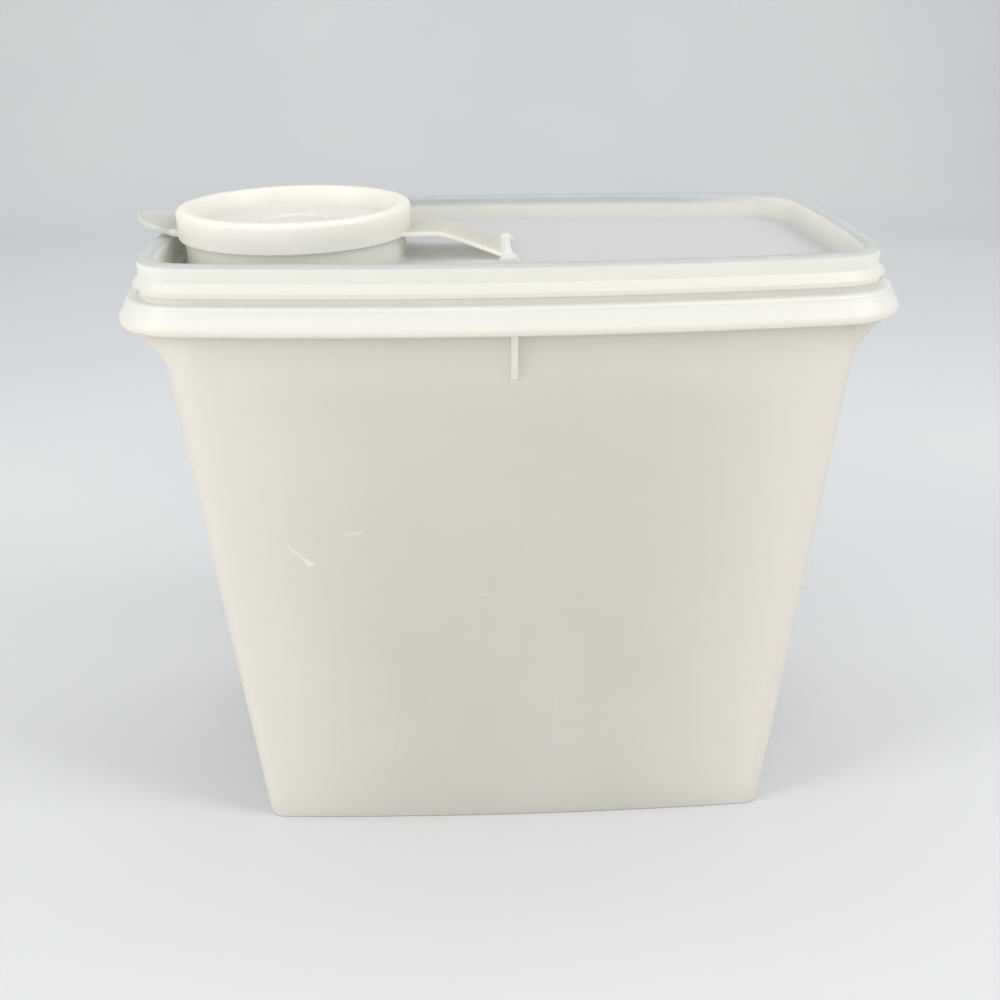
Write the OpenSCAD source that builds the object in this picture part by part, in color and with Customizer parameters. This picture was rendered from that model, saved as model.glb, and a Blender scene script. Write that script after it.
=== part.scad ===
// Cereal container with a flip spout: a tapered tub, a recessed lid with a round spout,
// and a round flip cap on a flat strap that is pinned to the lid.
// Millimetres. X runs along the length, Y towards the back, Z up from the base.
// The spout is at the -X end.

/* [Tub] */
// Length of the tub at its base
base_l = 172.8; // [150:0.1:190]
// Depth of the tub at its base
base_d = 107; // [90:0.1:110]
// Outward bow of each long side at the base
base_bow_l = 2.4; // [1:0.1:5]
// Outward bow of each end at the base
base_bow_e = 1.5; // [0.8:0.1:3]
// Corner radius at the base
base_corner = 6; // [5:0.1:14]
// Radius of the edge between the base and the walls
base_edge = 0.8; // [0.5:0.1:2]
// Width of the foot ring that the tub stands on
foot_w = 5; // [3:0.5:10]
// Depth of the hollow inside the foot ring
foot_h = 0.8; // [0.4:0.1:1.5]
// Thickness of the tub's walls
wall_t = 1.8; // [1.2:0.1:2.2]
// Thickness of the tub's floor above the foot ring's hollow
floor_t = 1.8; // [1.2:0.1:3]
// Inner radius between the floor and the walls
floor_fillet = 4; // [2:0.5:6]
// Height of the ledge that the lid stands on
seat_z = 178.9; // [160:0.1:240]

/* [Tub Shoulders] */
// Distance from the ledge down to where the end shoulders start
shoulder_drop = 20.4; // [18:0.1:35]
// Length of the tub where the end shoulders start
shoulder_l = 199.8; // [192:0.1:203]
// Depth of the tub where the end shoulders start
shoulder_d = 114.4; // [110:0.1:115]
// Outward bow of each long side where the end shoulders start
shoulder_bow_l = 4.9; // [3:0.1:7]
// Outward bow of each end where the end shoulders start
shoulder_bow_e = 2.3; // [1:0.1:3.5]
// Corner radius where the end shoulders start
shoulder_corner = 13.4; // [10:0.1:16]
// How far in from the tub's end each end shoulder starts
shoulder_in = 3.5; // [2.5:0.1:6]
// Gap between the top of the end shoulders and the skirt above it
shoulder_gap = 0.4; // [0.3:0.1:1]
// How far the end shoulders stand out past the lid's rim
shoulder_out = 6.1; // [3:0.1:6.2]
// Roundness of the end shoulders' corners: less is fuller
shoulder_round = 0.75; // [0.6:0.05:1]

/* [Tub Skirt and Lip] */
// Distance from the ledge down to the skirt's top edge
skirt_top_drop = 1.7; // [1.4:0.1:2]
// Distance from the ledge down to the skirt's widest line
skirt_wide_drop = 7; // [6.5:0.1:7.8]
// Distance from the ledge down to the skirt's bottom edge
skirt_drop = 9; // [8.6:0.1:9.5]
// How far the skirt's widest line stands out past the lid's rim
skirt_out = 6.5; // [6.3:0.1:8]
// How far the skirt's top edge stands out past the lid's rim
skirt_top_out = 4.1; // [3:0.1:4.8]
// Radius of the skirt's top edge
skirt_edge = 0.9; // [0.6:0.1:1.3]
// Distance from the ledge down to where the skirt leaves the tub's neck
skirt_root_drop = 4.1; // [3.8:0.1:4.8]
// Thickness of the skirt
skirt_t = 1.4; // [1:0.1:1.6]
// Length of the two ribs under the skirt
rib_h = 11; // [6:0.5:20]
// Thickness of the two ribs under the skirt
rib_t = 1.5; // [1:0.1:3]

/* [Lid] */
// Length of the lid's rim
rim_l = 211.4; // [208:0.1:220]
// Depth of the lid's rim
rim_d = 111.4; // [109:0.1:116]
// Outward bow of each long side of the rim
rim_bow_l = 7.4; // [5:0.1:9]
// Outward bow of each end of the rim
rim_bow_e = 3; // [2:0.1:4]
// Corner radius of the rim
rim_corner = 16.3; // [14:0.1:20]
// Height of the lid from its bottom edge to its rim
lid_h = 8.4; // [7.5:0.1:10]
// Width of the rim across its top
rim_w = 4.2; // [4.1:0.1:5]
// Thickness of the rim's walls
lid_t = 1.2; // [1:0.1:1.3]
// Radius of the rim's top edges
rim_edge = 0.9; // [0.5:0.1:1.2]
// How far the lid's bottom bead stands out past its rim
bead_out = 1.9; // [1.4:0.1:2.2]
// Height of the lid's bottom bead
bead_h = 1.3; // [1.2:0.1:1.5]
// How much thicker the lid's wall is at the bead
bead_extra = 0.5; // [0.3:0.1:0.7]
// Height where the rim's upright wall starts above the lid's bottom edge
rim_foot = 3.8; // [2.6:0.1:4.2]
// Depth of the recess inside the rim
recess_h = 8.2; // [6:0.1:10]
// Inner radius between the recess and the panel
recess_fillet = 1.2; // [0.6:0.1:2]
// Thickness of the lid's panel
panel_t = 1.4; // [1:0.1:2]
// Gap between the lid and the ledge that it stands on, and over the tub's lip
seat_gap = 0.3; // [0.2:0.05:0.5]
// Gap between the tub's lip and the channel in the lid's rim
lip_gap = 0.4; // [0.3:0.05:0.45]

/* [Spout] */
// Distance from the lid's centre to the spout's axis
spout_x = 64.9; // [60:0.1:65.5]
// Outer radius of the spout's collar
collar_r = 33.6; // [25:0.1:34]
// Thickness of the collar
collar_t = 1.4; // [1:0.1:1.6]
// Height of the collar above the panel
collar_h = 11.5; // [10:0.1:14]
// Radius between the collar and the panel
collar_fillet = 1; // [0.5:0.1:1.2]

/* [Flip Cap] */
// Gap between the collar and the cap's skirt
cap_gap = 0.6; // [0.5:0.05:1]
// Thickness of the cap's walls
cap_t = 1.2; // [1:0.1:1.4]
// Height of the cap
cap_h = 8.5; // [7.5:0.1:9.5]
// How far the cap's skirt reaches down over the collar
cap_overlap = 4.2; // [3.5:0.1:4.5]
// Radius of the cap's top outer edge
cap_edge = 1.5; // [1:0.1:1.8]
// Depth of the dish in the cap's top
dish_h = 5.5; // [4:0.1:5.5]
// Radius of the dish's top edge
dish_edge = 1; // [0.5:0.1:1.2]
// Gap between the dish's wall and the collar's mouth
dish_gap = 1; // [0.8:0.05:1.3]
// How far the dish's wall leans outwards for each millimetre that it rises
dish_lean = 0.36; // [0.3:0.02:0.44]
// Outer radius of the plain ring on the dish's floor
ring_r = 10.6; // [6:0.1:15]
// Width of the plain ring
ring_w = 1.3; // [0.8:0.1:3]
// Height of the plain ring
ring_h = 0.7; // [0.3:0.1:1]
// Radius of the thumb tab
tab_r = 12.2; // [10:0.1:14]
// How far the thumb tab reaches out from the cap's skirt
tab_reach = 12.7; // [8:0.1:14]
// Height of the thumb tab's root above the skirt's bottom edge
tab_z = 1.6; // [1.4:0.1:3]
// Thickness of the thumb tab
tab_t = 1.2; // [1:0.1:2]
// Height of the bead along the thumb tab's edge
tab_bead_h = 0.6; // [0.2:0.1:1]
// Width of the bead along the thumb tab's edge
tab_bead_w = 1.1; // [0.5:0.1:2]
// Rise of the thumb tab, in degrees
tab_rise = 14; // [0:1:20]

/* [Strap and Its Pin] */
// Thickness of the strap
strap_t = 1.2; // [1:0.1:1.4]
// Width of the strap at its ends
strap_w = 24.6; // [16:0.1:26]
// How much narrower the strap is at its middle
strap_waist = 2.4; // [0:0.1:6]
// Length of the strap's level stretch beside the cap
strap_level = 4.6; // [3:0.1:8]
// Distance from the pin's axis to where the strap has come down to it
strap_foot = 2.4; // [2:0.1:6]
// Distance from the cap's skirt to the line where cap and strap bend
hinge_reach = 1.4; // [1.3:0.05:2]
// Gap between the cap's lip and the strap's end
hinge_gap = 0.25; // [0.15:0.05:0.3]
// Distance from the lid's centre to the pin's axis, towards the far end
pin_x = 0.5; // [0:0.1:3]
// Radius of the barrel at the strap's end
barrel_r = 1; // [0.9:0.05:1.3]
// Radius of the pin
pin_r = 0.7; // [0.5:0.05:0.8]
// Radial clearance of the pin in its knuckles
pin_gap = 0.05; // [0.02:0.01:0.1]
// Thickness of each knuckle
knuckle_t = 2.8; // [2:0.1:4]
// Length of each knuckle's foot
knuckle_l = 6.6; // [5:0.1:9]
// Wall of each knuckle around the pin
knuckle_wall = 0.6; // [0.5:0.05:1]
// Gap between the strap and its neighbours
strap_gap = 0.4; // [0.3:0.05:0.6]
// Radius of the small nub on the strap
nub_r = 1.3; // [0.9:0.1:1.8]
// Distance from the bend line to the nub
nub_x = 9; // [5:0.1:12]
// Distance from the strap's middle line to the nub
nub_y = 6.4; // [0:0.1:8]

/* [Hidden] */

// Segments of half a long side, a corner, half an end, the strap's curve and a small edge
SIDE_N = 6;
CORNER_N = 9;
END_N = 4;
STRAP_N = 16;
EDGE_N = 2;
// Overlap that joins solids of one piece
JOIN = 0.5;
// Small edge radius on the pieces
SOFT = 0.4;
// How much thinner the shoulders are than the walls, measured straight down
SHOULDER_SINK = 0.7;
// Share of the strap's way down in which it curves
STRAP_EASE = 0.35;
// Length of the lip on the cap's skirt, from the strap's end into the skirt
HINGE_LIP_L = 6;

// Heights that the pieces share
lid_z = seat_z + seat_gap;
rim_z = lid_z + lid_h;
panel_z = rim_z - recess_h;
collar_z = panel_z + collar_h;
cap_z = collar_z - cap_overlap;
cap_top = cap_z + cap_h;
shoulder_z = seat_z - shoulder_drop;
shoulder_top = seat_z - skirt_drop - shoulder_gap;

// Places in the rim's section, outwards from the rim's face
bead_in = bead_out - lid_t - bead_extra;
neck_out = bead_out - lid_t;
lip_wide = bead_in - lip_gap;
lip_thin = -lid_t - lip_gap;
lip_in = lid_t - rim_w + lip_gap;
panel_in = rim_w + recess_fillet + 2;
roof_z = rim_z - lid_t;
lip_top = roof_z - seat_gap;

// Places that the cap, the spout and the strap share
cap_r = collar_r + cap_gap + cap_t;
bore_r = collar_r - collar_t;
hinge_x = -spout_x + cap_r + hinge_reach;
hinge_z = cap_z + strap_t / 2;
pin_z = panel_z + seat_gap + barrel_r;
knuckle_y = strap_w / 2 + strap_gap;

function lerp(u, v, t) = u + (v - u) * t;

// Radius of an arc with this half chord and this sagitta
function arc_radius(half, sag) = half * half / (2 * sag) + sag / 2;

// Points along an arc in n steps, without the last one
function open_arc(centre, r, from, to, n) =
    [for (i = [0 : n - 1]) let (u = lerp(from, to, i / n)) centre + r * [cos(u), sin(u)]];

// Points along an arc in n steps, with both ends
function arc(centre, r, from, to, n = EDGE_N) =
    concat(open_arc(centre, r, from, to, n), [centre + r * [cos(to), sin(to)]]);

// Quarter of the plan outline, from the middle of the front to the middle of the right end:
// a long side and an end that bow outwards, joined by a tangent corner
function quarter(a, b, bow_l, bow_e, r) =
    let (
        side_r = arc_radius(a, bow_l),
        end_r = arc_radius(b, bow_e),
        side_c = [0, side_r - b],
        end_c = [a - end_r, 0],
        away = end_c - side_c,
        gap = norm(away),
        along = away / gap,
        near = ((side_r - r) ^ 2 - (end_r - r) ^ 2 + gap ^ 2) / (2 * gap),
        aside = sqrt((side_r - r) ^ 2 - near ^ 2),
        corner_c = side_c + along * near + aside * [-along.y, along.x],
        from_side = corner_c - side_c,
        from_end = corner_c - end_c,
        side_end = atan2(from_side.y, from_side.x),
        end_start = atan2(from_end.y, from_end.x)
    )
    concat(
        open_arc(side_c, side_r, -90, side_end, SIDE_N),
        open_arc(corner_c, r, side_end, end_start, CORNER_N),
        open_arc(end_c, end_r, end_start, 0, END_N),
        [[a, 0]]
    );

// A section is [z, half length, half depth, bow of the long sides, bow of the ends, corner
// radius]. A flared one goes on with [crease, reach, power]: what lies past the crease is
// stretched along the length until it ends at the reach, and a power under 1 makes it fuller.
function stretched(x, s) =
    len(s) > 6 && abs(x) > s[6]
        ? sign(x) * lerp(s[6], s[7], ((abs(x) - s[6]) / (s[1] - s[6])) ^ s[8])
        : x;

// Whole outline of a section, counter-clockwise
function outline(s) =
    let (
        q = [for (p = quarter(s[1], s[2], s[3], s[4], s[5])) [stretched(p.x, s), p.y]],
        m = len(q) - 1
    )
    concat(
        q,
        [for (i = [m - 1 : -1 : 0]) [q[i].x, -q[i].y]],
        [for (i = [1 : m]) [-q[i].x, -q[i].y]],
        [for (i = [m - 1 : -1 : 1]) [-q[i].x, q[i].y]]
    );

function level(s) = [for (p = outline(s)) [p.x, p.y, s[0]]];

// Sections parallel to the lid's rim, from profile points [distance outside the rim, z]
function rim_sections(profile) = [
    for (p = profile)
        [p.y, rim_l / 2 + p.x, rim_d / 2 + p.x, rim_bow_l, rim_bow_e, rim_corner + p.x]
];

WALL_FOOT = [0, base_l / 2, base_d / 2, base_bow_l, base_bow_e, base_corner];
WALL_HEAD = [
    shoulder_z, shoulder_l / 2, shoulder_d / 2, shoulder_bow_l, shoulder_bow_e, shoulder_corner
];

// Section of the tapered wall at a height, moved inwards
function wall_section(z, inset) =
    let (s = lerp(WALL_FOOT, WALL_HEAD, z / shoulder_z))
    [z, s[1] - inset, s[2] - inset, s[3], s[4], max(s[5] - inset, SOFT)];

// Section of the end shoulders from their start, t = 0, to their top, t = 1
function shoulder_section(t, inset, sink) =
    let (
        s = wall_section(lerp(shoulder_z, shoulder_top, t), inset),
        crease = shoulder_l / 2 - shoulder_in - inset,
        reach = lerp(shoulder_l / 2, rim_l / 2 + shoulder_out, t) - inset,
        power = lerp(1, shoulder_round, t)
    )
    [s[0] - sink, s[1], s[2], s[3], s[4], s[5], crease, reach, power];

// Section a little above the shoulders' top, where they turn in under the skirt
function shoulder_roof() =
    let (s = shoulder_section(1, 0, -shoulder_gap / 2))
    [s[0], s[1], s[2], s[3], s[4], s[5], s[6], s[7] - wall_t, s[8]];

// Solid skin over sections: closed on itself, or capped at its first and last section
module skin(sections, ring = false) {
    n = len(outline(sections[0]));
    m = len(sections);
    rows = ring ? m : m - 1;
    points = [for (s = sections) each level(s)];
    sides = [
        for (i = [0 : rows - 1], j = [0 : n - 1])
            let (k = (i + 1) % m, l = (j + 1) % n)
            each [[i * n + j, k * n + j, k * n + l], [i * n + j, k * n + l, i * n + l]]
    ];
    ends = ring ? [] : [
        [for (j = [0 : n - 1]) j],
        [for (j = [n - 1 : -1 : 0]) (m - 1) * n + j]
    ];
    polyhedron(points, concat(sides, ends), convexity = 10);
}

// Foot ring and outer walls of the tub, up to the top of its shoulders
function outer_walls() = concat(
    [wall_section(foot_h, base_edge + foot_w + foot_h)],
    [wall_section(0, base_edge + foot_w)],
    [for (p = arc([base_edge, base_edge], base_edge, 270, 180, 3)) wall_section(p.y, p.x)],
    [wall_section(shoulder_z / 2, 0)],
    [for (t = [0 : 0.5 : 1]) shoulder_section(t, 0, 0)],
    [shoulder_roof()]
);

// How far the skirt's outer face stands out at a distance below the ledge
function skirt_face(drop) =
    let (top = skirt_top_drop + skirt_edge)
    lerp(skirt_top_out, skirt_out, (drop - top) / (skirt_wide_drop - top));

// The neck, the skirt around it, the ledge and the lip, from the bottom up
function skirt_profile() =
    let (
        root = seat_z - skirt_root_drop,
        wide = seat_z - skirt_wide_drop,
        top = seat_z - skirt_top_drop,
        half = skirt_t / 2
    )
    concat(
        [[neck_out, root]],
        [[skirt_face(skirt_root_drop) - skirt_t, root]],
        [[skirt_out - skirt_t, wide]],
        arc([skirt_out - half - 0.1, seat_z - skirt_drop + half], half, 180, 360, 3),
        [[skirt_out, wide]],
        arc([skirt_top_out - skirt_edge, top - skirt_edge], skirt_edge, 0, 90, 3),
        [[neck_out, top]],
        [[neck_out, seat_z]],
        [[lip_wide, seat_z]],
        [[lip_wide, seat_z + bead_h]],
        [[lip_thin, seat_z + rim_foot - lip_gap]],
        [[lip_thin, lip_top - SOFT]],
        [[lip_thin - SOFT, lip_top]]
    );

// The inside of the lip and the neck, from the top down
function mouth_profile() = [
    [lip_in + SOFT, lip_top],
    [lip_in, lip_top - SOFT],
    [lip_in, seat_z - 1],
    [neck_out - wall_t, seat_z - skirt_root_drop]
];

// Inner walls and floor of the tub, from the shoulders down
function inner_walls() =
    let (f = floor_fillet, z = foot_h + floor_t)
    concat(
        [for (t = [1 : -0.5 : 0]) shoulder_section(t, wall_t, SHOULDER_SINK)],
        [wall_section(shoulder_z / 2, wall_t)],
        [for (p = arc([wall_t + f, z + f], f, 180, 270, 4)) wall_section(p.y, p.x)]
    );

// One rib under the middle of the skirt, on the back
module rib() {
    wall = shoulder_d / 2 - JOIN;
    neck = rim_d / 2 + neck_out - JOIN;
    out = rim_d / 2 - skirt_t / 2;
    low = seat_z - skirt_drop;
    foot = low - rib_h;
    top = seat_z - skirt_root_drop + JOIN;
    rotate([90, 0, 90])
        linear_extrude(rib_t, center = true)
            polygon([
                [wall, foot],
                [shoulder_d / 2 + SOFT, foot + 1],
                [out + skirt_out - 1, low],
                [out + skirt_out, low + 1],
                [out + skirt_out, seat_z - skirt_wide_drop],
                [out + skirt_face(skirt_root_drop), top],
                [neck, top],
                [neck, seat_z - skirt_root_drop],
                [wall, shoulder_top]
            ]);
}

module container() {
    color("ivory")
        union() {
            skin(concat(
                outer_walls(),
                rim_sections(skirt_profile()),
                rim_sections(mouth_profile()),
                inner_walls()
            ));
            rib();
            mirror([0, 1, 0]) rib();
        }
}

// Closed section of the lid's rim: bead, outer wall, rounded top and recess wall, then the
// underside with the channel for the tub's lip
function rim_profile() =
    let (
        inner_t = recess_fillet + lid_t,
        under = panel_z - panel_t
    )
    concat(
        arc([bead_out - SOFT, lid_z + SOFT], SOFT, -90, 0),
        [[bead_out, lid_z + bead_h]],
        [[bead_out - SOFT, lid_z + bead_h + SOFT]],
        [[0, lid_z + rim_foot]],
        arc([-rim_edge, rim_z - rim_edge], rim_edge, 0, 90),
        arc([rim_edge - rim_w, rim_z - rim_edge], rim_edge, 90, 180),
        arc([-rim_w - recess_fillet, panel_z + recess_fillet], recess_fillet, 0, -90),
        [[-panel_in, panel_z]],
        [[-panel_in, under]],
        arc([lid_t - rim_w - inner_t, under + inner_t], inner_t, -90, 0),
        [[lid_t - rim_w, roof_z]],
        [[-lid_t, roof_z]],
        [[-lid_t, lid_z + rim_foot - SOFT]],
        [[bead_in, lid_z + bead_h]],
        [[bead_in, lid_z]]
    );

module panel() {
    difference() {
        translate([0, 0, panel_z - panel_t])
            linear_extrude(panel_t)
                polygon(outline(rim_sections([[-panel_in, 0]])[0]));
        translate([-spout_x, 0, panel_z - 2 * panel_t])
            cylinder(h = 3 * panel_t, r = bore_r, $fn = 96);
    }
}

module collar() {
    foot_r = collar_r + collar_fillet;
    translate([-spout_x, 0, 0])
        rotate_extrude($fn = 96)
            polygon(concat(
                [[bore_r, panel_z - panel_t], [foot_r, panel_z - panel_t]],
                arc([foot_r, panel_z + collar_fillet], collar_fillet, 270, 180, 3),
                arc([collar_r - SOFT, collar_z - SOFT], SOFT, 0, 90),
                arc([bore_r + SOFT, collar_z - SOFT], SOFT, 90, 180)
            ));
}

// Side view of a knuckle, around the pin's axis at the origin
module knuckle_profile() {
    hump_r = pin_r + pin_gap + knuckle_wall;
    floor_z = panel_z - pin_z;
    difference() {
        union() {
            circle(hump_r, $fn = 48);
            polygon([
                [-knuckle_l / 2, floor_z - JOIN],
                [knuckle_l / 2, floor_z - JOIN],
                [knuckle_l / 2, floor_z + SOFT],
                [hump_r * cos(40), hump_r * sin(40)],
                [-hump_r * cos(40), hump_r * sin(40)],
                [-knuckle_l / 2, floor_z + SOFT]
            ]);
        }
        circle(pin_r + pin_gap, $fn = 48);
    }
}

module knuckle() {
    translate([pin_x, knuckle_y + knuckle_t, pin_z])
        rotate([90, 0, 0])
            linear_extrude(knuckle_t)
                knuckle_profile();
}

module lid() {
    color("whitesmoke")
        union() {
            skin(rim_sections(rim_profile()), ring = true);
            panel();
            collar();
            knuckle();
            mirror([0, 1, 0]) knuckle();
        }
}

// Share of the way down at a share t of the way along: a curve at first, then straight
function eased(t) =
    let (
        half = STRAP_EASE / 2,
        way = t < STRAP_EASE ? t * t / STRAP_EASE / 2 : t - half
    )
    way / (1 - half);

// The strap's middle line: level beside the cap, then a curve and a straight slope to the pin
function strap_z(x) =
    let (
        from = hinge_x + strap_level,
        to = pin_x - strap_foot,
        t = max(0, min(1, (x - from) / (to - from)))
    )
    lerp(hinge_z, pin_z, eased(t));

// Half the strap's width along its length
function strap_half(x) =
    let (t = (x - hinge_x) / (pin_x - hinge_x))
    strap_w / 2 - 2 * strap_waist * t * (1 - t);

strap_xs = [for (i = [0 : STRAP_N]) lerp(hinge_x, pin_x, i / STRAP_N)];

module strap_side() {
    polygon(concat(
        [for (x = strap_xs) [x, strap_z(x) + strap_t / 2]],
        [for (i = [STRAP_N : -1 : 0]) [strap_xs[i], strap_z(strap_xs[i]) - strap_t / 2]]
    ));
    translate([hinge_x, hinge_z]) circle(strap_t / 2, $fn = 32);
    translate([pin_x, pin_z]) circle(barrel_r, $fn = 48);
}

module strap_plan() {
    past = barrel_r + 1;
    polygon(concat(
        [[hinge_x - past, -strap_w / 2]],
        [for (x = strap_xs) [x, -strap_half(x)]],
        [[pin_x + past, -strap_w / 2], [pin_x + past, strap_w / 2]],
        [for (i = [STRAP_N : -1 : 0]) [strap_xs[i], strap_half(strap_xs[i])]],
        [[hinge_x - past, strap_w / 2]]
    ));
}

module strap_nub() {
    x = hinge_x + nub_x;
    translate([x, -nub_y, strap_z(x) + (strap_t - nub_r) / 2])
        sphere(r = nub_r, $fn = 32);
}

module hinge_strap() {
    pin_l = 2 * (knuckle_y + knuckle_t) - SOFT;
    color("ivory")
        union() {
            intersection() {
                rotate([90, 0, 0])
                    linear_extrude(strap_w + 2, center = true)
                        strap_side();
                translate([0, 0, panel_z])
                    linear_extrude(cap_top - panel_z)
                        strap_plan();
            }
            strap_nub();
            translate([pin_x, 0, pin_z])
                rotate([90, 0, 0])
                    cylinder(h = pin_l, r = pin_r, center = true, $fn = 48);
        }
}

// Radius of the dish wall's outer face, which goes down inside the collar
function dish_r(z) = bore_r - dish_gap + dish_lean * (z - collar_z);

// Half section of the cap: skirt, rounded top edge, sloping dish wall, floor and its ring
module cap_section() {
    floor_z = cap_top - dish_h;
    under = floor_z - cap_t;
    edge_z = cap_top - dish_edge;
    edge_r = dish_r(edge_z) - cap_t + dish_edge;
    polygon(concat(
        [[cap_r - cap_t, cap_z]],
        arc([cap_r - SOFT, cap_z + SOFT], SOFT, -90, 0),
        arc([cap_r - cap_edge, cap_top - cap_edge], cap_edge, 0, 90, 4),
        arc([edge_r, edge_z], dish_edge, 90, 180, 3),
        [[dish_r(floor_z + SOFT) - cap_t, floor_z + SOFT]],
        [[dish_r(floor_z) - cap_t - SOFT, floor_z]],
        [[ring_r, floor_z]],
        [[ring_r - SOFT / 2, floor_z + ring_h]],
        [[ring_r - ring_w + SOFT / 2, floor_z + ring_h]],
        [[ring_r - ring_w, floor_z]],
        [[0, floor_z], [0, under]],
        [[dish_r(under) - SOFT, under]],
        [[dish_r(under + SOFT), under + SOFT]],
        [[dish_r(cap_top - cap_t), cap_top - cap_t]],
        [[cap_r - cap_t, cap_top - cap_t]]
    ));
}

module thumb_tab() {
    out = cap_r + tab_reach - tab_r * cos(tab_rise);
    translate([-spout_x - out, 0, cap_z + tab_z])
        rotate([0, tab_rise, 0])
            difference() {
                cylinder(h = tab_t + tab_bead_h, r = tab_r, $fn = 96);
                translate([0, 0, tab_t])
                    cylinder(h = tab_t, r = tab_r - tab_bead_w, $fn = 96);
            }
}

// The lip on the cap's skirt that the strap bends against
module hinge_lip() {
    near = hinge_x - strap_t / 2 - hinge_gap;
    translate([near - HINGE_LIP_L, -strap_w / 2, cap_z])
        cube([HINGE_LIP_L, strap_w, strap_t]);
}

module flip_cap() {
    color("ivory")
        union() {
            translate([-spout_x, 0, 0])
                rotate_extrude($fn = 120)
                    cap_section();
            difference() {
                union() {
                    thumb_tab();
                    hinge_lip();
                }
                translate([-spout_x, 0, cap_z - cap_h])
                    cylinder(h = 3 * cap_h, r = cap_r - cap_t / 2, $fn = 120);
            }
        }
}

container();
lid();
hinge_strap();
flip_cap();
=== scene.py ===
"""Looks of a cereal container with a flip spout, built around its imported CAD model.

Every shape repeats the CAD model's formulas with finer steps, in millimetres, and is turned to
metres as it becomes a mesh. X runs along the length, Y towards the back, Z up. Only BASE_L, RIB_H
and RIB_T differ from the CAD model: they were measured after it was final.
"""
import math
import random

import bmesh
import bpy
from mathutils import Matrix, Vector
from mathutils.geometry import delaunay_2d_cdt


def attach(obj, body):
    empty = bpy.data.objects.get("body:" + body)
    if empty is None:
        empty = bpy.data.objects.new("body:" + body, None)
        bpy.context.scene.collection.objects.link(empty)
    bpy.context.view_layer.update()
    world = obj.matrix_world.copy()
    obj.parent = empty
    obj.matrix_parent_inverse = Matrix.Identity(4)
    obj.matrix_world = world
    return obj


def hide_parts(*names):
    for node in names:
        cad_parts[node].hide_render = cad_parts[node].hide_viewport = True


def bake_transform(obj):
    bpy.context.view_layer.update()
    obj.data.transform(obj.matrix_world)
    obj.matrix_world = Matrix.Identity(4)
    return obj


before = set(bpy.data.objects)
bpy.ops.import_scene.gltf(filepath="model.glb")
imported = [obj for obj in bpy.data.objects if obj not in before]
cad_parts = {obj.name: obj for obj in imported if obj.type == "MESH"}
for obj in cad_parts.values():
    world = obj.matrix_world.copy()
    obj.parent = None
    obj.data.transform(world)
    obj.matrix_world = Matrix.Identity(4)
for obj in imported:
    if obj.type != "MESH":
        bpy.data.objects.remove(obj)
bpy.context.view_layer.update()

MM = 0.001

# Tub
BASE_L, BASE_D, BASE_BOW_L, BASE_BOW_E, BASE_CORNER = 170.2, 107.0, 2.4, 1.5, 6.0
BASE_EDGE, FOOT_W, FOOT_H = 0.8, 5.0, 0.8
WALL_T, FLOOR_T, FLOOR_FILLET = 1.8, 1.8, 4.0
# Height at which the lid sits on the tub
SEAT_Z = 178.9

# Shoulders at the tub's ends
SHOULDER_L, SHOULDER_D, SHOULDER_BOW_L, SHOULDER_BOW_E, SHOULDER_CORNER = 199.8, 114.4, 4.9, 2.3, 13.4
SHOULDER_DROP, SHOULDER_IN, SHOULDER_GAP, SHOULDER_OUT = 20.4, 3.5, 0.4, 6.1
SHOULDER_ROUND, SHOULDER_SINK = 0.75, 0.7

# Skirt and lip
SKIRT_TOP_DROP, SKIRT_WIDE_DROP, SKIRT_DROP, SKIRT_ROOT_DROP = 1.7, 7.0, 9.0, 4.1
SKIRT_OUT, SKIRT_TOP_OUT, SKIRT_EDGE, SKIRT_T, SKIRT_BEND = 6.5, 4.1, 0.9, 1.4, 3.0
SKIRT_TIP_IN = 0.1
RIB_H, RIB_T, RIB_EDGE = 14.3, 1.9, 0.25

# Lid
RIM_L, RIM_D, RIM_BOW_L, RIM_BOW_E, RIM_CORNER = 211.4, 111.4, 7.4, 3.0, 16.3
LID_H, RIM_W, LID_T, RIM_EDGE = 8.4, 4.2, 1.2, 0.9
BEAD_OUT, BEAD_H, BEAD_EXTRA, RIM_FOOT = 1.9, 1.3, 0.5, 3.8
RECESS_H, RECESS_FILLET, PANEL_T, SEAT_GAP, LIP_GAP = 8.2, 1.2, 1.4, 0.3, 0.4

# Spout
SPOUT_X, COLLAR_R, COLLAR_T, COLLAR_H, COLLAR_FILLET = 64.9, 33.6, 1.4, 11.5, 1.0
# Grid of points inside the panel: its step, how far it stays from an edge, and half its counts
GRID, GRID_CLEAR, GRID_X, GRID_Y = 5.0, 4.0, 20, 10

# Flip cap
CAP_GAP, CAP_T, CAP_H, CAP_OVERLAP, CAP_EDGE = 0.6, 1.2, 8.5, 4.2, 1.5
DISH_H, DISH_EDGE, DISH_GAP, DISH_LEAN, DISH_FILLET = 5.5, 1.0, 1.0, 0.36, 0.9
RING_R, RING_W, RING_H, RING_EDGE, RING_SLOPE = 10.6, 1.3, 0.7, 0.25, 0.3
TAB_R, TAB_REACH, TAB_Z, TAB_T, TAB_RISE = 12.2, 12.7, 1.6, 1.2, 14.0
TAB_BEAD_H, TAB_BEAD_W, TAB_BEAD_SLOPE = 0.6, 1.1, 0.6

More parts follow.
